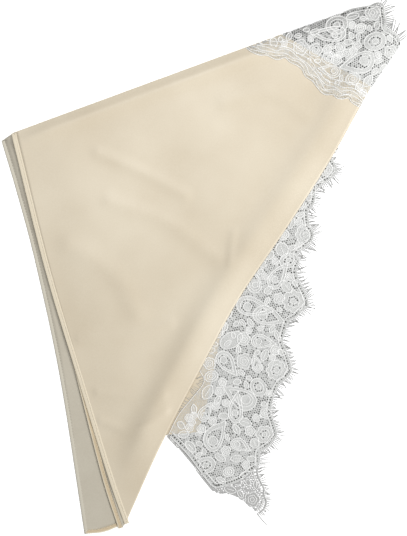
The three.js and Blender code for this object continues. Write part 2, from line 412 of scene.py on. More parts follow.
def fabric(name, colour, shade, roughness, sheen, mottle=(18, 900, 0.3), weave=(900, 0.5), bump=0.15):
    """A cloth or thread material: mottled colour, a woven bump, a sheen and uneven roughness."""
    if not GROUPS:
        GROUPS.update(mottle=mottle_group(), weave=weave_group())
    material = bpy.data.materials.new(name)
    material.use_nodes = True
    nodes, link = material.node_tree.nodes, material.node_tree.links.new
    shader = nodes["Principled BSDF"]
    shader.inputs["Sheen Weight"].default_value = sheen
    shader.inputs["Sheen Roughness"].default_value = 0.4
    shader.inputs["Specular IOR Level"].default_value = 0.35
    tint = nodes.new("ShaderNodeGroup")
    tint.node_tree = GROUPS["mottle"]
    tint.inputs["Colour"].default_value = (*colour, 1)
    tint.inputs["Shade"].default_value = (*shade, 1)
    for label, number in zip(("Broad Scale", "Fine Scale", "Fine Share"), mottle):
        tint.inputs[label].default_value = number
    threads = nodes.new("ShaderNodeGroup")
    threads.node_tree = GROUPS["weave"]
    threads.inputs["Thread Scale"].default_value = weave[0]
    threads.inputs["Cross Share"].default_value = weave[1]
    rough = nodes.new("ShaderNodeMapRange")
    rough.inputs["To Min"].default_value = roughness + 0.06
    rough.inputs["To Max"].default_value = roughness - 0.04
    relief = nodes.new("ShaderNodeBump")
    relief.inputs["Strength"].default_value = bump
    relief.inputs["Distance"].default_value = 0.0002
    link(tint.outputs["Colour"], shader.inputs["Base Color"])
    link(tint.outputs["Mask"], rough.inputs["Value"])
    link(rough.outputs["Result"], shader.inputs["Roughness"])
    link(threads.outputs["Height"], relief.inputs["Height"])
    link(relief.outputs["Normal"], shader.inputs["Normal"])
    return material


# Broad and fine scale and fine share of a mottle, and scale and cross share of a weave.
SATIN_MOTTLE, HEM_MOTTLE, DEEP_MOTTLE = (11, 900, 0.2), (60, 1400, 0.5), (60, 1400, 0.4)
SATIN_WEAVE = (900, 0.5)
LACE_LOOK = (140, 1500, 0.65), (1500, 0.5), 0.5  # mottle, weave and bump
CORD_LOOK = (90, 2200, 0.5), (2600, 0.2)
SEWING_LOOK = (90, 2600, 0.5), (3200, 0.2)
FABRICS = {  # colour, shade, roughness and sheen, then mottle, weave and bump where they differ
    "satin_face": ("satin", "satin_shade", 0.38, 0.25, SATIN_MOTTLE, SATIN_WEAVE, 0.08),
    "satin_back": ("satin_back", "satin_back_shade", 0.62, 0.15),
    "hem_satin": ("hem", "satin", 0.5, 0.2, HEM_MOTTLE),
    "hem_edge": ("hem_edge", "hem", 0.5, 0.2, HEM_MOTTLE),
    "hem_back": ("hem_back", "satin_back", 0.6, 0.15, HEM_MOTTLE),
    "hem_deep": ("hem_deep", "hem_deep_shade", 0.5, 0.2, DEEP_MOTTLE),
    "lace_net": ("lace", "lace_shade", 0.75, 0.1, *LACE_LOOK),
    "lace_thin": ("lace_thin", "lace_thin_shade", 0.8, 0.05, *LACE_LOOK),
    "lace_lap": ("lace_lap", "lace_shade", 0.75, 0.1, *LACE_LOOK),
    "lace_inner": ("lace_inner", "lace_inner", 0.85, 0.05, *LACE_LOOK),
    "lace_cord": ("cord", "cord_shade", 0.6, 0.15, *CORD_LOOK, 0.4),
    "lash_thread": ("lash", "lash", 0.7, 0.1, *CORD_LOOK, 0.3),
    "sewing_thread": ("thread", "hem", 0.55, 0.2, *SEWING_LOOK, 0.4),
}
MATERIALS = {}


def material(name):
    """The named material, made when it is first asked for."""
    if name not in MATERIALS:
        tone = bpy.context.scene.wrap_colours
        colour, shade, *look = FABRICS[name]
        MATERIALS[name] = fabric(name, getattr(tone, colour), getattr(tone, shade), *look)
    return MATERIALS[name]


# ---------------------------------------------------------------- settings


def colour_setting(name, description, default):
    return bpy.props.FloatVectorProperty(
        name=name, description=description, default=default, size=3, min=0, max=1, subtype="COLOR"
    )


def length_setting(name, description, default):
    return bpy.props.FloatProperty(
        name=name, description=description, default=default, min=0, subtype="DISTANCE", unit="LENGTH"
    )


class WrapSizes(bpy.types.PropertyGroup):
    """Sizes of the cloth, its sewing and its lace."""

    cloth: length_setting("Cloth", "Thickness of the satin", 0.00024)
    hem: length_setting("Hem", "Width of the double-turned hem", 0.0045)
    stitch: length_setting("Stitch", "Length of one hem stitch", 0.0027)
    net_pitch: length_setting("Net Pitch", "Distance between holes in the net", 0.0021)
    hole: length_setting("Hole", "Radius of an open hole in the net", 0.00062)
    cord: length_setting("Cord", "Radius of the cord round the motifs", 0.00040)
    lash: length_setting("Lash", "Length of the lashes along the scallops", 0.0082)
    lash_pitch: length_setting("Lash Pitch", "Distance between lashes", 0.0015)


class WrapColours(bpy.types.PropertyGroup):
    """Colours of the cloth and threads."""

    satin: colour_setting("Satin", "Right side of the satin", (0.69, 0.618, 0.49))
    satin_shade: colour_setting("Satin Shade", "Darker tone of the right side", (0.58, 0.503, 0.38))
    satin_back: colour_setting("Satin Back", "Wrong side of the satin", (0.54, 0.50, 0.412))
    satin_back_shade: colour_setting(
        "Satin Back Shade", "Darker tone of the wrong side", (0.475, 0.435, 0.352)
    )
    hem: colour_setting("Hem", "Turned edge of the satin", (0.67, 0.59, 0.45))
    hem_edge: colour_setting("Hem Edge", "The outer roll of the turned edge", (0.74, 0.67, 0.52))
    hem_back: colour_setting("Hem Back", "Turned edge seen from the wrong side", (0.565, 0.535, 0.45))
    # The covered hems: a yellower tan of the turned cloth, darkened as painted shade from the leaves above
    # them
    hem_deep: colour_setting("Deep Hem", "Turned edge of the covered leaves", (0.60, 0.49, 0.33))
    hem_deep_shade: colour_setting("Deep Hem Shade", "Its darker parts", (0.55, 0.445, 0.295))
    lace: colour_setting("Lace", "Filled parts of the lace", (0.68, 0.685, 0.67))
    lace_shade: colour_setting("Lace Shade", "Thinner parts of the lace", (0.52, 0.525, 0.51))
    # Painted shade: the covered lace layers get this near-black colour in place of the shade between the
    # layers
    lace_inner: colour_setting("Inner Lace", "Lace of the covered leaves", (0.13, 0.13, 0.12))
    # Darker lace: the lower layer where no other lace covers it, and painted shade scattered near the long
    # fold
    lace_thin: colour_setting("Thin Lace", "Lace with nothing under it", (0.5, 0.5, 0.49))
    lace_thin_shade: colour_setting("Thin Lace Shade", "Its thinner parts", (0.38, 0.38, 0.375))
    lace_lap: colour_setting("Lap Lace", "Lace with the satin showing through", (0.68, 0.61, 0.49))
    cord: colour_setting("Cord", "Cord round the motifs", (0.98, 0.98, 0.965))
    cord_shade: colour_setting("Cord Shade", "Duller lengths of the cord", (0.86, 0.86, 0.85))
    lash: colour_setting("Lash", "Lashes along the scallops", (0.37, 0.37, 0.36))
    thread: colour_setting("Thread", "Sewing thread", (0.86, 0.80, 0.64))


# ---------------------------------------------------------------- satin


def patch(left, right, bottom, top, rows, columns):
    """Plan points of a grid between four edges; left and right run up, bottom and top run right."""
    s, t = rows[:, None, None], columns[None, :, None]
    a, b = sampled(left, rows)[:, None], sampled(right, rows)[:, None]
    c, d = sampled(bottom, columns)[None], sampled(top, columns)[None]
    corners = (1 - s) * ((1 - t) * a[0] + t * b[0]) + s * ((1 - t) * a[-1] + t * b[-1])
    return (1 - t) * a + t * b + (1 - s) * c + s * d - corners


def moved(line, distance_left):
    return line + normals(line) * distance_left


def edge_shares(plain, close, share):
    """Shares from 0 to 1, evenly spaced up to share and then closer and closer."""
    near = 1 - (1 - np.linspace(0, 1, close + 1)[1:]) ** 2
    return np.concatenate([np.linspace(0, share, plain), share + (1 - share) * near])


FOLD_WELD = 0.00003  # in metres; the leaves are joined where they meet at the folds
HEM_OVERLAP = 0.7  # mm that the satin runs under a hem
FOLD_POINTS = 30
SATIN_ROWS = edge_shares(130, 14, 0.965)
TOP_COLUMNS, OTHER_COLUMNS = edge_shares(100, 16, 0.93), edge_shares(26, 16, 0.93)


def satin_leaves(hem):
    """Each leaf as (leaf number, left, right, bottom, top), in mm."""
    diagonal = spline(DIAGONAL[1:])[::-1]
    corner, end = CORNER, SATIN_END
    inward = INWARD * INNER_FOLD_INSET
    top = np.vstack([sampled(np.stack([corner, end]), np.linspace(0, 1, FOLD_POINTS)), DIAGONAL[1]])
    inner_top = top + np.concatenate([np.tile(inward, (FOLD_POINTS, 1)), [[0, 0]]])
    lower_top = np.stack([corner, end])
    hidden_top = lower_top + inward

    def side(points, inset):
        return moved(spline(points), inset)[::-1]

    top_side, inner_side = side(TOP_SIDE, hem - HEM_OVERLAP), side(INNER_SIDE, hem - HEM_OVERLAP)
    hidden_side, under_side = side(HIDDEN_SIDE, 0), side(UNDER_SIDE, 0)
    tip = diagonal[0]
    hidden_edge = np.vstack([(-62, -206), UNDER_SATIN_EDGE[::-1]])
    under_edge = np.vstack([(-72, -228), (-50, -176), UNDER_SATIN_EDGE[::-1]])
    hidden_bottom = np.stack([hidden_side[0], hidden_edge[0]])
    return [
        (3, np.vstack([top_side, corner]), diagonal, np.stack([top_side[0], tip]), top),
        (2, np.vstack([inner_side, inner_top[0]]), diagonal, np.stack([inner_side[0], tip]), inner_top),
        (1, np.vstack([hidden_side, hidden_top[0]]), hidden_edge, hidden_bottom, hidden_top),
        (0, np.vstack([under_side, corner]), under_edge, np.stack([under_side[0], under_edge[0]]), lower_top),
    ]


class WRAP_OT_satin(bpy.types.Operator):
    """Make the satin cloth: four leaves and the folds between them, as one sheet"""

    bl_idname = "wrap.satin"
    bl_label = "Satin Cloth"

    def execute(self, context):
        sizes = context.scene.wrap_sizes
        verts, faces, start = [], [], 0
        for leaf, left, right, bottom, top in satin_leaves(sizes.hem / MM):
            columns = TOP_COLUMNS if leaf == 3 else OTHER_COLUMNS
            plan = patch(left, right, bottom, top, SATIN_ROWS, columns)
            n, m = plan.shape[:2]
            flat = plan.reshape(-1, 2)
            height = leaf_height(flat, leaf)
            verts.append(np.column_stack([flat, height]))
            for i in range(n - 1):
                for j in range(m - 1):
                    a = start + i * m + j
                    quad = (a, a + 1, a + m + 1, a + m)
                    faces.append(quad if leaf in (1, 3) else quad[::-1])
            start += n * m
        sides = [material("satin_face"), material("satin_back")]
        obj = new_mesh("satin_panel_cloth", np.vstack(verts), faces, sides)
        weld = obj.modifiers.new("Folds", "WELD")
        weld.merge_threshold = FOLD_WELD
        thick = obj.modifiers.new("Thickness", "SOLIDIFY")
        thick.thickness = sizes.cloth
        thick.offset = -1
        thick.material_offset = 1
        apply_modifiers(obj)
        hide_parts("satin_panel")
        return {"FINISHED"}


# ---------------------------------------------------------------- stage


TABLE_HALF = 3.0  # in metres, as the other sizes of the stage
TABLE_GLOW, SKY_GLOW = 0.42, 0.31
LAMPS = (  # name, place, size and power
    ("key", (1.45, -0.5, 1.15), 0.8, 32),
    ("fill", (-0.05, 0.44, 0.72), 0.5, 3.4),
)
LENS, SENSOR = 85, 36  # in millimetres
VIEW_HEIGHT, CLOTH_TOP, VIEW_X = 0.4824, 0.003, 0.0002


class WRAP_OT_stage(bpy.types.Operator):
    """Make the table, the lights and the camera"""

    bl_idname = "wrap.stage"
    bl_label = "Table, Lights and Camera"

    def execute(self, context):
        scene = context.scene
        mesh = bpy.data.meshes.new("table")
        corners = [(x * TABLE_HALF, y * TABLE_HALF, 0) for x, y in ((-1, -1), (1, -1), (1, 1), (-1, 1))]
        mesh.from_pydata(corners, [], [(0, 1, 2, 3)])
        table = bpy.data.objects.new("table", mesh)
        scene.collection.objects.link(table)
        paint = bpy.data.materials.new("table_paper")
        paint.use_nodes = True
        shader = paint.node_tree.nodes["Principled BSDF"]
        shader.inputs["Base Color"].default_value = (0.93, 0.93, 0.93, 1)
        shader.inputs["Roughness"].default_value = 0.9
        shader.inputs["Specular IOR Level"].default_value = 0.1
        shader.inputs["Emission Color"].default_value = (1, 1, 1, 1)
        shader.inputs["Emission Strength"].default_value = TABLE_GLOW
        mesh.materials.append(paint)

        world = scene.world or bpy.data.worlds.new("studio")
        scene.world = world
        world.use_nodes = True
        sky = world.node_tree.nodes["Background"]
        sky.inputs["Color"].default_value = (1, 1, 1, 1)
        sky.inputs["Strength"].default_value = SKY_GLOW
        for name, place, size, power in LAMPS:
            lamp = bpy.data.lights.new(name, "AREA")
            lamp.size, lamp.energy = size, power
            light = bpy.data.objects.new(name, lamp)
            light.location = place
            light.rotation_euler = (-Vector(place)).to_track_quat("-Z", "Y").to_euler()
            scene.collection.objects.link(light)

        camera = bpy.data.cameras.new("camera")
        camera.lens, camera.sensor_width = LENS, SENSOR
        view = bpy.data.objects.new("camera", camera)
        view.location = (VIEW_X, 0, VIEW_HEIGHT * LENS / SENSOR + CLOTH_TOP)
        scene.collection.objects.link(view)
        scene.camera = view
        scene.view_settings.view_transform = "Standard"
        return {"FINISHED"}


# ---------------------------------------------------------------- hems and stitches


EDGE_LIGHT = 1.1  # mm from the outer edge that the paler turned cloth reaches
STITCH_AT = 3.2  # mm from the outer edge to the stitch row
HEM_ACROSS = (0, 0.25, 0.6, 1.1, 1.9, 2.7, STITCH_AT, 3.6, 4.1, 4.4)  # mm; the width follows
HEM_BULGE = np.array([0, 0.26, 0.36, 0.38, 0.34, 0.29, 0.14, 0.20, 0.13, 0.02, -0.12])
STITCH_SHARES = np.array([0.08, 0.2, 0.5, 0.8, 0.92])  # along one stitch
STITCH_DIP = np.array([-0.28, -0.02, 0.05, -0.02, -0.28])  # mm; the ends go into the cloth
STITCH_RADIUS = 0.17
TABLE_GAP = 0.02  # mm between the table and the lowest cloth


def hem_line(points, inset, step=1.35):
    """Evenly spaced plan points beside a cloth edge; a positive inset is to its left."""
    return moved(spaced(spline(points), step), inset)


def hem_band(line, leaf, width, name, edge_cloth, cloth):
    """A turned edge swept along its outer plan line, dented along its stitch row."""
    across = np.array([*HEM_ACROSS, width])
    left = normals(line)
    n, m = len(line), len(across)
    plan = line[:, None] + left[:, None] * across[None, :, None]
    base = leaf_height(plan.reshape(-1, 2), leaf).reshape(n, m)
    base = np.repeat(base[:, -1:], m, axis=1)
    at_stitches = np.exp(-(((across - STITCH_AT) / 0.5) ** 2))
    pull = 1 - 0.35 * np.cos(np.arange(n) * math.pi)[:, None] * at_stitches
    wobble = 1 + 0.12 * waves(line, 9, 4.4)[:, None]
    top = base + 0.08 + 0.8 * HEM_BULGE * pull * wobble
    low = np.maximum(base - 0.22 - 0.3 * HEM_BULGE, TABLE_GAP)
    above = np.concatenate([plan, top[..., None]], axis=2).reshape(-1, 3)
    below = np.concatenate([plan, low[..., None]], axis=2).reshape(-1, 3)
    verts = np.vstack([above, below])
    count, faces, slots = n * m, [], []
    for i in range(n - 1):
        for j in range(m - 1):
            a = i * m + j
            faces.append((a, a + m, a + m + 1, a + 1))
            faces.append((count + a, count + a + 1, count + a + m + 1, count + a + m))
            slots += [int(across[j] >= EDGE_LIGHT)] * 2
        for j in (0, m - 1):
            a = i * m + j
            quad = (a, count + a, count + a + m, a + m)
            faces.append(quad if j == 0 else quad[::-1])
            slots.append(int(j > 0))
    for i in (0, n - 1):
        for j in range(m - 1):
            a = i * m + j
            quad = (a, a + 1, count + a + 1, count + a)
            faces.append(quad if i == 0 else quad[::-1])
    slots += [0] * (len(faces) - len(slots))
    return new_mesh(name, verts, faces, [material(edge_cloth), material(cloth)], face_material=slots)


def stitch_row(line, leaf, pitch, name, lift=0.42, lean=0.0):
    """Short stitches along a plan line, each a bent thread going down into the cloth at its ends."""
    rng = np.random.default_rng(SEED)
    line = spaced(line, pitch)
    height = leaf_height(line, leaf)
    threads = Tubes()
    for i in range(len(line) - 1):
        a, b = line[i], line[i + 1]
        along, left = b - a, np.array([-(b - a)[1], (b - a)[0]])
        jog = rng.normal(0, 0.03, 2)
        shares = STITCH_SHARES[:, None]
        plan = a + along * shares + left * (shares - 0.5) * (lean + jog[0]) + left * jog[1]
        z = height[i] + (height[i + 1] - height[i]) * STITCH_SHARES + lift + STITCH_DIP
        threads.add(np.column_stack([plan, z]), STITCH_RADIUS)
    return threads.make(name, material("sewing_thread"))


class WRAP_OT_hems(bpy.types.Operator):
    """Make the three turned hems"""

    bl_idname = "wrap.hems"
    bl_label = "Hems"

    def execute(self, context):
        width = context.scene.wrap_sizes.hem / MM
        for part, end, points, leaf, edge_cloth, cloth in (
            ("side_hem", "_top_band", TOP_SIDE, 3, "hem_edge", "hem_satin"),
            ("side_hem", "_under_band", UNDER_SIDE, 0, "hem_back", "hem_back"),
            # The covered hems take the tan that carries painted shade
            ("inner_hem", "_band", INNER_SIDE, 2, "hem_edge", "hem_deep"),
            ("end_hem", "_band", UNDER_END, 0, "hem_edge", "hem_deep"),
        ):
            obj = hem_band(hem_line(points, 0), leaf, width, part + end, edge_cloth, cloth)
            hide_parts(part)
        return {"FINISHED"}


class WRAP_OT_hem_stitches(bpy.types.Operator):
    """Make the stitch rows of the hems"""

    bl_idname = "wrap.hem_stitches"
    bl_label = "Hem Stitches"

    def execute(self, context):
        pitch = context.scene.wrap_sizes.stitch / MM
        for part, points, leaf in (
            ("side_hem", TOP_SIDE, 3), ("inner_hem", INNER_SIDE, 2), ("end_hem", UNDER_END, 0)
        ):
            obj = stitch_row(hem_line(points, STITCH_AT), leaf, pitch, part + "_stitching")
            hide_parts(part + "_stitches")
        return {"FINISHED"}


# ---------------------------------------------------------------- lace


class Motifs:
    """The pattern of a lace strip: where it is filled, where it is netted, and its corded outlines."""

    def __init__(self):
        self.fills, self.opens, self.cords = [], [], []

    def shape(self, outline, place, turn, fill=True, cord=1.0):
        """Place an outline given in mm about its own centre; fill closes it, otherwise it is netted."""
        line = outline @ rotation(turn) + np.asarray(place, float)
        (self.fills if fill else self.opens).append((line, len(self.fills) + len(self.opens)))
        if cord:
            self.cords.append((line, cord))

    def disc(self, x, y, radius, fill=True, cord=1.0, squash=1.0, turn=0.0):
        t = np.arange(20) * math.pi / 10
        self.shape(np.stack([radius * np.cos(t), radius * squash * np.sin(t)], 1), (x, y), turn, fill, cord)

    def ring(self, x, y, radius, squash=1.0, turn=0.0):
        self.disc(x, y, radius, True, 1.0, squash, turn)
        self.disc(x, y, radius * 0.62, False, 0.9, squash, turn)
        self.disc(x, y, radius * 0.28, True, 0.8, squash, turn)

    def flower(self, x, y, radius, petals=5, turn=0.0):
        t = np.arange(petals * 10) * 2 * math.pi / (petals * 10)
        wave = 0.80 + 0.20 * np.abs(np.cos(t * petals / 2)) ** 0.7
        shape = np.stack([np.cos(t), np.sin(t)], 1) * wave[:, None]
        self.shape(shape * radius, (x, y), turn, True)
        self.shape(shape * radius * 0.58, (x, y), turn, False, 0.8)
        self.disc(x, y, radius * 0.26, True, 0.8)

    def leaf(self, x, y, length, width, turn=0.0):
        t = np.arange(24) * math.pi / 12
        shape = np.stack([np.cos(t) * length / 2, np.sin(t) * np.abs(np.sin(t)) ** 0.4 * width / 2], 1)
        self.shape(shape, (x, y), turn, True)
        run = rotation(turn)[0] * length * 0.32
        centre = np.array([x, y], float)
        self.cords.append((spaced(np.stack([centre - run, centre + run]), 1.2), -0.8))

    def paisley(self, x, y, length, width, turn=0.0, bend=1.0):
        """A teardrop with a round head at its left before turning, and a bent tail at its right."""
        t = np.arange(44) * math.pi / 22
        share = (1 - np.cos(t)) / 2
        shape = np.stack(
            [
                -np.cos(t) * length / 2 - 0.08 * length * share**3,
                0.62 * width * np.sin(t) * np.abs(np.cos(t / 2)) ** 1.1 + 0.6 * bend * width * share**2,
            ],
            axis=1,
        )
        self.shape(shape, (x, y), turn, True)
        centre = np.array([-length * 0.14, 0])
        self.shape((shape - centre) * 0.72 + centre, (x, y), turn, False, 0.9)
        head = np.array([-length * 0.20, 0.0])
        self.disc(*(head @ rotation(turn) + (x, y)), width * 0.19, True, 0.9)


LONG_MOTIFS = [  # kind, centre and sizes in mm, turn in degrees
    ("flower", 112, 88, 6), ("leaf", 103.5, 79.6, 9, 5, -30), ("ring", 87, 57, 5),
    ("flower", 91.8, 30, 9, 8), ("ring", 72, 29.6, 5), ("ring", 76.5, 6.8, 8),
    ("leaf", 70.7, 16.7, 13, 11, -70), ("paisley", 65.3, -5, 28, 15, 80, -1),
    ("paisley", 47.3, -10.4, 24, 14, 80, 1), ("paisley", 45, -39, 34, 19, -38, 1),
    ("paisley", 56.8, -47, 28, 20, -52, 1), ("flower", 68, -27.5, 5), ("leaf", 58.5, -20, 9, 6, 40),
    ("leaf", 74.7, -16.7, 14, 8, -50), ("flower", 81, -30, 10, 8), ("flower", 36, -64, 6),
    ("paisley", 53, -69, 22, 14, -40, 1), ("disc", 25, -65, 11, 30), ("paisley", 19, -88, 26, 16, -80, 1),
    ("flower", 36.5, -84, 7), ("paisley", 49.5, -86, 16, 10, 80, 1), ("flower", 65.7, -92, 9, 8),
    ("ring", 49.5, -107.5, 8.5, -60), ("paisley", 35, -113, 32, 21, 118, 1),
    ("paisley", 26.6, -125, 30, 14, 105, -1), ("disc", 18, -133.6, 4.5, 0),
    ("leaf", 37.5, -139, 12, 7, -20), ("flower", 56, -131, 5), ("paisley", 13.5, -154, 27, 22, 20, 1),
    ("paisley", 32, -162, 18, 13, -60, 1), ("flower", 55, -150, 8, 6), ("flower", 41.9, -146.9, 4.5),
    ("leaf", 45.9, -158, 9, 8, -70), ("leaf", 37.8, -186.6, 12, 6, 20), ("ring", 22.5, -183.9, 5),
    ("ring", 1.8, -177.8, 9), ("leaf", -11.7, -161, 12, 7, -50), ("leaf", 3.6, -112, 14, 9, 60),
    ("paisley", 3.6, -131, 18, 12, 30, 1), ("ring", 7, -97.7, 6), ("flower", 44, -208.8, 7),
    ("leaf", 30, -172, 12, 6, 0), ("leaf", -18, -150, 10, 6, 10), ("leaf", 15, -171, 11, 6, -30),
    ("disc", 43, -172, 4, 0),
]
APEX_MOTIFS = [  # kind, centre and sizes in mm, turn in degrees
    ("paisley", 138.6, 188, 30, 22, 160, 1), ("paisley", 111.6, 207.5, 34, 14, 198, -1),
    ("ring", 119.7, 218.3, 10), ("ring", 141.3, 215.6, 4.8), ("ring", 153.9, 203.3, 10),
    ("flower", 152, 229, 7, 6), ("flower", 87.3, 198.5, 7), ("flower", 100.8, 195.8, 6),
    ("leaf", 95.4, 178, 12, 8, -40), ("ring", 107, 164.5, 7), ("leaf", 123, 159, 12, 6, 10),
    ("ring", 134, 169.7, 6.5), ("paisley", 114, 179.7, 20, 12, 140, 1), ("leaf", 71, 195, 14, 7, 10),
    ("flower", 168.5, 194, 6), ("leaf", 147.8, 168, 12, 7, 55), ("leaf", 134, 226, 12, 6, 15),
    ("disc", 130, 203, 4, 0), ("leaf", 162, 179, 10, 6, 60), ("leaf", 136, 155, 8, 5, 0),
    ("disc", 100, 212, 4, 20),
]


def add_motifs(motifs, rows):
    for kind, x, y, *rest in rows:
        if kind == "disc":
            motifs.disc(x, y, rest[0], squash=0.62, turn=rest[1])
        elif kind == "ring":
            motifs.ring(x, y, rest[0], 0.8, rest[1] if len(rest) > 1 else 20)
        else:
            getattr(motifs, kind)(x, y, *rest)


GAP_TRIES = 5200


def fill_gaps(motifs, outline, seed, reach=5.6):
    """Add small leaves, flowers and discs wherever the lace still has room."""
    rng = np.random.default_rng(seed)
    low, high = outline.min(0), outline.max(0)
    taken = [np.array([line.mean(0)]) for line, _ in motifs.fills] + [line for line, _ in motifs.cords]
    taken = np.vstack(taken)
    tries = low + rng.random((GAP_TRIES, 2)) * (high - low)
    tries = tries[inside(tries, outline)]
    tries = tries[distance(tries, looped(outline)) > reach * 0.7]
    for x, y in tries:
        away = np.sqrt(((taken - (x, y)) ** 2).sum(1)).min()
        if away < reach * 0.62:
            continue
        size = min(away * 0.85, reach)
        turn = float(rng.uniform(0, 180))
        pick = rng.random()
        if pick < 0.4:
            motifs.leaf(x, y, size * 2, size * 1.15, turn)
        elif pick < 0.75:
            motifs.flower(x, y, size, 5, turn)
        else:
            motifs.disc(x, y, size * 0.8, True, 1.0, 0.7, turn)
        taken = np.vstack([taken, motifs.cords[-1][0], motifs.fills[-1][0], [[x, y]]])


def near(points, line, reach):
    """Which points are within reach of a line; only those near its box are measured."""
    low, high = line.min(0) - reach, line.max(0) + reach
    close = ((points >= low) & (points <= high)).all(1)
    result = np.zeros(len(points), bool)
    result[close] = distance(points[close], line) < reach
    return result


def within(points, outline):
    low, high = outline.min(0), outline.max(0)
    close = ((points >= low) & (points <= high)).all(1)
    result = np.zeros(len(points), bool)
    result[close] = inside(points[close], outline)
    return result


def hole_sizes(cells, motifs, edges, pitch, hole, seed):
    """The radius of the hole in each cell of the net, or 0 where the cell is filled."""
    rng = np.random.default_rng(seed)
    size = hole * rng.uniform(0.7, 1.25, len(cells))
    size[rng.random(len(cells)) < 0.3] *= 0.35
    shapes = sorted(
        [(order, line, True) for line, order in motifs.fills]
        + [(order, line, False) for line, order in motifs.opens],
        key=lambda item: item[0],
    )
    for _, line, fill in shapes:
        hit = within(cells, line)
        size[hit] = 0 if fill else hole * rng.uniform(0.35, 0.95, hit.sum())
    open_cells = size > 0
    for line, weight in motifs.cords:
        if weight > 0:
            beside = near(cells, looped(line), pitch * 0.95) & open_cells
            size[beside] = hole * rng.uniform(1.0, 1.3, beside.sum())
    for line, weight in motifs.cords:
        if weight > 0:
            size[near(cells, looped(line), pitch * 0.36)] = 0
    for line, reach in edges:
        size[near(cells, line, reach)] = 0
    return size


SMALLEST_HOLE = 0.12  # mm; a cell with a smaller hole is filled
FILLED_LIFT, RIM_LIFT = 0.24, 0.05  # mm that a filled cell's middle and a hole's rim stand up


def net(outline, place, pitch, turn, sizes):
    """A hexagonal net in an outline, as verts and faces.

    Each cell has a hole of the size given for it, is filled where that is 0, and is left out below 0.
    """
    rotate = rotation(turn)
    flat = outline @ rotate.T
    low, high = flat.min(0) - pitch, flat.max(0) + pitch
    rise = pitch * math.sqrt(3) / 2
    u, v = np.meshgrid(
        np.arange(int((high[0] - low[0]) / pitch) + 1), np.arange(int((high[1] - low[1]) / rise) + 1)
    )
    cells = np.stack([low[0] + (u + 0.5 * (v % 2)) * pitch, low[1] + v * rise], axis=2).reshape(-1, 2)
    cells = cells[inside(cells @ rotate, outline)]
    around = np.radians(30 + 60 * np.arange(6))
    spoke = np.stack([np.cos(around), np.sin(around)], axis=1)
    corners = (cells[:, None] + spoke[None] * pitch / math.sqrt(3)).reshape(-1, 2)
    rounded = np.round(corners / (pitch * 0.05)).astype(int)
    _, first, which = np.unique(rounded, axis=0, return_index=True, return_inverse=True)
    corners = corners[first] @ rotate
    which = which.reshape(-1, 6)
    out = ~inside(corners, outline)
    corners[out] = nearest(corners[out], looped(outline))
    centres = cells @ rotate
    size = sizes(centres)
    spoke = spoke @ rotate
    total, plan, lift, faces = len(corners), [corners], [np.zeros(len(corners))], []
    for i, (centre, radius) in enumerate(zip(centres, size)):
        k = which[i]
        if radius < 0:
            continue
        if radius < SMALLEST_HOLE:
            plan.append(centre[None])
            lift.append([FILLED_LIFT])
            faces += [(k[j], k[(j + 1) % 6], total) for j in range(6)]
            total += 1
        else:
            middle = corners[k].mean(0)
            plan.append(middle + spoke * radius)
            lift.append(np.full(6, RIM_LIFT))
            faces += [(k[j], k[(j + 1) % 6], total + (j + 1) % 6, total + j) for j in range(6)]
            total += 6
    plan = np.vstack(plan)
    return np.column_stack([plan, place(plan) + np.concatenate(lift)]), faces


def nearest(points, line):
    """The nearest point of a line to each point."""
    a, d = line[:-1], np.diff(line, axis=0)
    length = np.maximum((d * d).sum(1), 1e-12)
    p = points[:, None] - a[None]
    t = np.clip((p * d).sum(2) / length, 0, 1)
    on = a[None] + t[..., None] * d
    best = ((points[:, None] - on) ** 2).sum(2).argmin(1)
    return on[np.arange(len(points)), best]


DOT_AT = 0.6  # share of the edge band's width, from its outer side


def dot_row(line, width, pitch, hole, place, seed=SEED):
    """A band with one row of round holes, to the right of a line."""
    line = spaced(line, pitch / 2)
    count = (len(line) - 1) // 2
    left = smoothed(normals(line), 2)
    rng = np.random.default_rng(seed)
    radii = hole * rng.uniform(0.6, 1.12, count)
    verts, faces, total = [], [], 0
    for i in range(count):
        row = slice(2 * i, 2 * i + 3)
        outer, inner = line[row], line[row] - left[row] * width
        middle = (outer + inner) / 2
        rim = np.vstack([outer, middle[2:], inner[::-1], middle[:1]])
        centre = outer[1] * (1 - DOT_AT) + inner[1] * DOT_AT
        inward = centre + unit(rim - centre) * radii[i]
        verts += [rim, inward]
        faces += [(total + j, total + 8 + j, total + 8 + (j + 1) % 8, total + (j + 1) % 8) for j in range(8)]
        total += 16
    plan = np.vstack(verts)
    return np.column_stack([plan, place(plan)]), faces


def smoothed_line(line, times):
    for _ in range(times):
        line = np.vstack([line[:1], (line[:-2] + 2 * line[1:-1] + line[2:]) / 4, line[-1:]])
    return line


def smoothed(directions, times):
    return unit(smoothed_line(directions, times))


def joined(name, parts, material_name):
    """One object from several lists of verts and faces."""
    verts, faces, total = [], [], 0
    for points, polygons in parts:
        verts.append(points)
        faces += [tuple(int(k) + total for k in polygon) for polygon in polygons]
        total += len(points)
    return new_mesh(name, np.vstack(verts), faces, [material(material_name)], smooth=False)


def cord_runs(line, outline):
    """The parts of a closed line that lie inside an outline."""
    ok = inside(line, outline)
    if ok.all():
        return [(line, True)]
    runs, run = [], []
    start = int(np.argmin(ok))
    for k in range(len(line) + 1):
        i = (start + k) % len(line)
        if ok[i] and k < len(line):
            run.append(line[i])
        elif run:
            if len(run) > 2:
                runs.append((np.array(run), False))
            run = []
    return runs


CORD_LIFT, EDGE_CORD_LIFT = 0.16, 0.12  # mm above the lace


def add_cords(threads, motifs, outline, place, radius):
    """Add the cords of the motifs; a weight below 0 marks a single rib, kept only where it is whole."""
    for line, weight in motifs.cords:
        for run, closed in cord_runs(line, outline) if weight > 0 else [(line, False)]:
            if weight < 0 and not inside(run, outline).all():
                continue
            z = place(run) + CORD_LIFT
            threads.add(np.column_stack([run, z]), radius * abs(weight), 4, closed)


CLUSTER = 4  # lashes that lean together
LASH_SHARES = np.array([-0.04, 0.3, 0.65, 1.0])  # along a lash; its root is inside the edge
LASH_TAPER = np.array([1, 1.1, 0.95, 0.5])


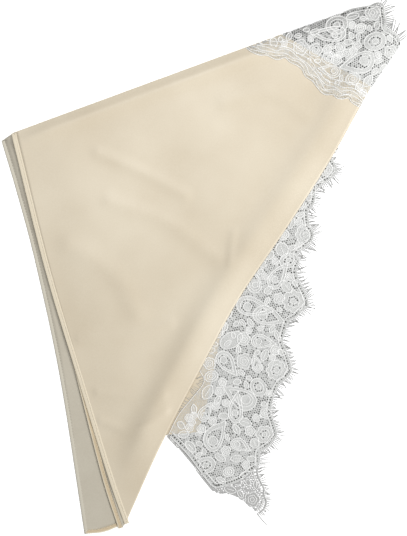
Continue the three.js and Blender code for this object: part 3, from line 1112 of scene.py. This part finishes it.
def lashes(threads, line, place, length, pitch, seed, lean=(0.0, 0.0), drop=0.0, radius=0.3):
    """Fine threads standing out to the left of an edge, leaning together in small clusters."""
    rng = np.random.default_rng(seed)
    line = spaced(line, pitch)
    out = smoothed(normals(line), 4)
    height = place(line)
    for i in range(1, len(line) - 1):
        along = np.array([out[i][1], -out[i][0]])
        if i % CLUSTER == 1:
            cluster, tall = rng.normal(0, 0.35), rng.uniform(0.55, 1.1)
        toward = cluster + rng.normal(0, 0.22)
        way = out[i] + along * toward + np.asarray(lean)
        way /= np.linalg.norm(way)
        reach = length * tall * rng.uniform(0.75, 1.25)
        bend = rng.normal(0, 0.10)
        out_by = LASH_SHARES.clip(0)
        plan = line[i] + way * LASH_SHARES[:, None] * reach
        plan = plan + np.array([-way[1], way[0]]) * bend * reach * out_by[:, None] ** 2
        z = height[i] - 0.25 - drop * out_by + rng.uniform(-0.1, 0.3) * out_by
        z = np.maximum(z, 1.1 * radius + 0.03)
        threads.add(np.column_stack([plan, z]), radius * LASH_TAPER, 4)


EDGE_SPAN, INNER_SPAN = 5, 8  # points that a curve has for each one drawn


def lace_outlines():
    """The outline of each layer of lace, in mm, by name."""
    start = int(np.abs(LONG_EDGE - OVERLAY_END[0]).sum(1).argmin())
    upper_edge = spline(LONG_EDGE[: start + 1], EDGE_SPAN)
    lower_edge = spline(LONG_EDGE[start:], EDGE_SPAN)
    inner = spline(LACE_INNER, INNER_SPAN)
    overlay, end = spline(OVERLAY_END, 6), spline(LACE_END, 6)
    tucked = moved(upper_edge, -0.9)
    apex_edge = spline(APEX_EDGE, EDGE_SPAN)
    side = np.stack([DIAGONAL[1] + (0.4, -0.6), (178, 201)])
    lap = spline(LAP_EDGE, EDGE_SPAN)
    return {
        "upper": np.vstack([upper_edge, overlay[1:], inner[1:]]),
        "lower": np.vstack([tucked, lower_edge, end[1:], inner[1:]]),
        "apex": np.vstack([lap, side, apex_edge[::-1]]),
        "apex_inner": np.vstack([[SATIN_END], [DIAGONAL[1]], side, moved(apex_edge, -1.0)[::-1]]),
        "upper_edge": upper_edge, "lower_edge": lower_edge, "overlay": overlay, "end": end,
        "apex_edge": apex_edge, "lap": lap, "inner": inner,
    }


# For each layer of lace: mm above its leaf, the leaf it lies on, and the turn of its net in degrees.
LACE_LIFT = {"upper": 0.14, "lower": 0.25, "apex": 0.32, "apex_inner": 0.12}
LACE_LEAF = {"upper": 1, "lower": 0, "apex": 3, "apex_inner": 2}
STRIP_TURN = {"upper": 12, "lower": 10, "apex": 28, "apex_inner": 31}


def resting(layer):
    """The height of a lace layer over plan points."""
    return lambda points: leaf_height(points, LACE_LEAF[layer]) + LACE_LIFT[layer]


def lace_motifs(layer, outline):
    motifs = Motifs()
    add_motifs(motifs, APEX_MOTIFS if layer.startswith("apex") else LONG_MOTIFS)
    fill_gaps(motifs, outline, SEED + LACE_LEAF[layer])
    return motifs


EDGE_BAND = 4.2  # mm; width of the band with the row of dots
DOT_PITCH, DOT_RADIUS = 2.5, 0.98
END_BAND, LAP_BAND = 1.8, 1.6  # mm without holes along the plain edges
LAP_ROWS = (2.2, 4.6, 7.4, 10.5, 14.5)  # mm from the lap's edge to each of its wavy cords
FOLD_SHADE_REACH = 34.0  # mm from the long fold over which painted shade is scattered on the lace


class WRAP_OT_lace(bpy.types.Operator):
    """Make the lace: its net with holes, its edge rows of dots and its corded motifs"""

    bl_idname = "wrap.lace"
    bl_label = "Lace Border"

    def execute(self, context):
        sizes = context.scene.wrap_sizes
        pitch, hole, cord = sizes.net_pitch / MM, sizes.hole / MM, sizes.cord / MM
        lines = lace_outlines()
        edges = {
            "upper": [lines["upper_edge"], lines["overlay"]],
            "lower": [lines["lower_edge"]],
            "apex": [lines["apex_edge"]],
            "apex_inner": [],
        }
        for layer, borders in edges.items():
            outline = lines[layer]
            motifs = lace_motifs(layer, outline)
            bands = [(line, EDGE_BAND) for line in borders]
            if layer == "lower":
                bands.append((lines["end"], END_BAND))
            if layer == "apex":
                bands.append((lines["lap"], LAP_BAND))
            place = resting(layer)

            def hole_at(cells, motifs=motifs, bands=bands, layer=layer, borders=borders):
                radii = hole_sizes(cells, motifs, bands, pitch, hole, SEED + LACE_LEAF[layer])
                for line in borders:
                    radii[near(cells, line, EDGE_BAND - 0.4)] = -1
                return radii

            parts = [net(outline, place, pitch, STRIP_TURN[layer], hole_at)]
            parts += [dot_row(line, EDGE_BAND, DOT_PITCH, DOT_RADIUS, place) for line in borders]
            # The covered lace layers take the near-black lace as painted shade between the layers; the others
            # take the plain net
            tone = "lace_inner" if layer in ("lower", "apex_inner") else "lace_net"
            obj = joined("lace_net_" + layer, parts, tone)
            if layer == "lower":
                self.recolour(obj, lines["upper"], "lace_thin", False)
            elif layer == "upper":
                self.recolour(obj, np.vstack([UNDER_SATIN_EDGE, [(-60, -60)]]), "lace_lap", True)
            elif layer == "apex":
                satin = np.vstack([[SATIN_END], [DIAGONAL[1]], [(130, 130)], [(30, 190)]])
                self.recolour(obj, satin, "lace_lap", True)
                self.shade_fold(obj)
            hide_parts("lace_border")

            threads = Tubes()
            if layer == "lower":
                shown = np.vstack([lines["lower_edge"], lines["end"][1:], lines["overlay"][::-1]])
                add_cords(threads, motifs, shown, place, cord)
            elif layer == "apex":
                beyond_lap = np.vstack([moved(lines["lap"], 9.0), outline[len(lines["lap"]) :]])
                add_cords(threads, motifs, beyond_lap, place, cord)
            elif layer == "upper":
                add_cords(threads, motifs, outline, place, cord)
            for line in borders:
                self.edge_cord(threads, line, place, cord * 0.6, 0.3)
                self.edge_cord(threads, line, place, cord * 0.8, EDGE_BAND)
            if layer == "apex":
                self.edge_cord(threads, lines["lap"], place, cord * 0.9, 0.2)
                rng = np.random.default_rng(SEED)
                for row in LAP_ROWS:
                    line = moved(smoothed_line(spaced(lines["lap"], 1.5), int(row)), row)
                    swing = 0.9 * np.sin(np.arange(len(line)) * 1.5 / (2.6 + 0.2 * row) + rng.uniform(0, 6))
                    line = line + normals(line) * swing[:, None]
                    line = line[inside(line, outline)]
                    self.edge_cord(threads, line, place, cord * 0.85, 0)
            if layer == "upper":
                self.edge_cord(threads, moved(lines["inner"][: INNER_SPAN * 7], 0.5), place, cord * 0.8, 0)
            if threads.count:
                obj = threads.make("lace_cords_" + layer, material("lace_cord"))
        return {"FINISHED"}

    @staticmethod
    def edge_cord(threads, line, place, radius, inset):
        line = spaced(line, 1.1)
        line = line - smoothed(normals(line), 3) * inset
        threads.add(np.column_stack([line, place(line) + EDGE_CORD_LIFT]), radius)

    @staticmethod
    def recolour(obj, outline, name, within_it):
        """Give the faces inside an outline, or outside it, another lace material."""
        mesh = obj.data
        mesh.materials.append(material(name))
        centres = np.array([polygon.center[:2] for polygon in mesh.polygons]) / MM
        hit = inside(centres, outline) == within_it
        mesh.polygons.foreach_set("material_index", hit.astype(int))

    @staticmethod
    def shade_fold(obj):
        """Paint shade on the lace near the long fold: give its faces the darker thin lace, fewer and fewer
        away from it.
        """
        mesh = obj.data
        mesh.materials.append(material("lace_thin"))
        centres = np.array([polygon.center[:2] for polygon in mesh.polygons]) / MM
        slots = np.array([polygon.material_index for polygon in mesh.polygons])
        chance = np.random.default_rng(SEED).random(len(centres))
        slots[(distance(centres, LONG_FOLD) / FOLD_SHADE_REACH < chance) & (slots == 0)] = 2
        mesh.polygons.foreach_set("material_index", slots)


class WRAP_OT_lashes(bpy.types.Operator):
    """Make the fine lashes along the scallops"""

    bl_idname = "wrap.lashes"
    bl_label = "Lashes"

    def execute(self, context):
        sizes = context.scene.wrap_sizes
        length, pitch = sizes.lash / MM, sizes.lash_pitch / MM
        lines = lace_outlines()
        long_run, apex_run = Tubes(), Tubes()
        shown = lines["upper_edge"][EDGE_SPAN * (LONG_EDGE_SHOWN - 1) :]
        tucked = lines["inner"][INNER_SPAN : INNER_SPAN * 6]
        corner = lines["apex_edge"][int(len(lines["apex_edge"]) * 0.35) :]
        upper, lower, apex = resting("upper"), resting("lower"), resting("apex")
        lean = (0.25, -0.15)
        lashes(long_run, shown, upper, length, pitch, SEED, lean, 0.8)
        lashes(long_run, lines["lower_edge"], lower, length * 0.85, pitch, SEED + 1, lean, 0.2)
        lashes(long_run, tucked, upper, length * 0.9, 1.9, SEED + 3, (-0.2, 0), 0.1)
        lashes(apex_run, corner, apex, length * 1.3, pitch * 1.2, SEED + 2, (0.45, 0.25), 0.6, 0.42)
        for part, threads in (("long", long_run), ("apex", apex_run)):
            obj = threads.make(f"lash_edge_{part}_threads", material("lash_thread"))
            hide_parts("lash_edge_" + part)
        return {"FINISHED"}


class WRAP_OT_lace_sewing(bpy.types.Operator):
    """Make the seam that holds the lace on the satin, and the loose thread end"""

    bl_idname = "wrap.lace_sewing"
    bl_label = "Lace Seam and Thread End"

    def execute(self, context):
        lap = moved(lace_outlines()["lap"], 1.5)
        obj = stitch_row(lap, 3, 2.2, "lace_seam_stitching", 0.9, 0.5)
        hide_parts("lace_seam_stitches")
        tail = Tubes()
        run = spline(pts((48.5, -221), (51, -224.5), (54, -228), (57.6, -232.2)), 6)
        height, radius = np.linspace(0.9, 0.45, len(run)), np.linspace(0.42, 0.3, len(run))
        tail.add(np.column_stack([run, height]), radius, 6)
        obj = tail.make("thread_tail_end", material("lash_thread"))
        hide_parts("thread_tail")
        return {"FINISHED"}


# ---------------------------------------------------------------- panel and run

STEPS = ("stage", "satin", "hems", "hem_stitches", "lace", "lashes", "lace_sewing")


class WRAP_PT_panel(bpy.types.Panel):
    """Sizes, colours and the steps that build the wrap"""

    bl_idname = "WRAP_PT_panel"
    bl_label = "Folded Lace Wrap"
    bl_space_type = "VIEW_3D"
    bl_region_type = "UI"
    bl_category = "Lace Wrap"

    def draw(self, context):
        for settings in (context.scene.wrap_sizes, context.scene.wrap_colours):
            column = self.layout.column()
            for name in settings.__annotations__:
                column.prop(settings, name)
        for step in STEPS:
            self.layout.operator("wrap." + step)


CLASSES = (
    WrapSizes, WrapColours, WRAP_OT_stage, WRAP_OT_satin, WRAP_OT_hems, WRAP_OT_hem_stitches, WRAP_OT_lace,
    WRAP_OT_lashes, WRAP_OT_lace_sewing, WRAP_PT_panel,
)


def register():
    for cls in CLASSES:
        bpy.utils.register_class(cls)
    bpy.types.Scene.wrap_sizes = bpy.props.PointerProperty(type=WrapSizes)
    bpy.types.Scene.wrap_colours = bpy.props.PointerProperty(type=WrapColours)


def unregister():
    del bpy.types.Scene.wrap_colours
    del bpy.types.Scene.wrap_sizes
    for cls in reversed(CLASSES):
        bpy.utils.unregister_class(cls)


def declare_sheets():
    """Work out the lace outlines; nothing is done with them."""
    lines = lace_outlines()


def main():
    register()
    for step in STEPS:
        getattr(bpy.ops.wrap, step)()
    declare_sheets()


if __name__ == "__main__":
    main()
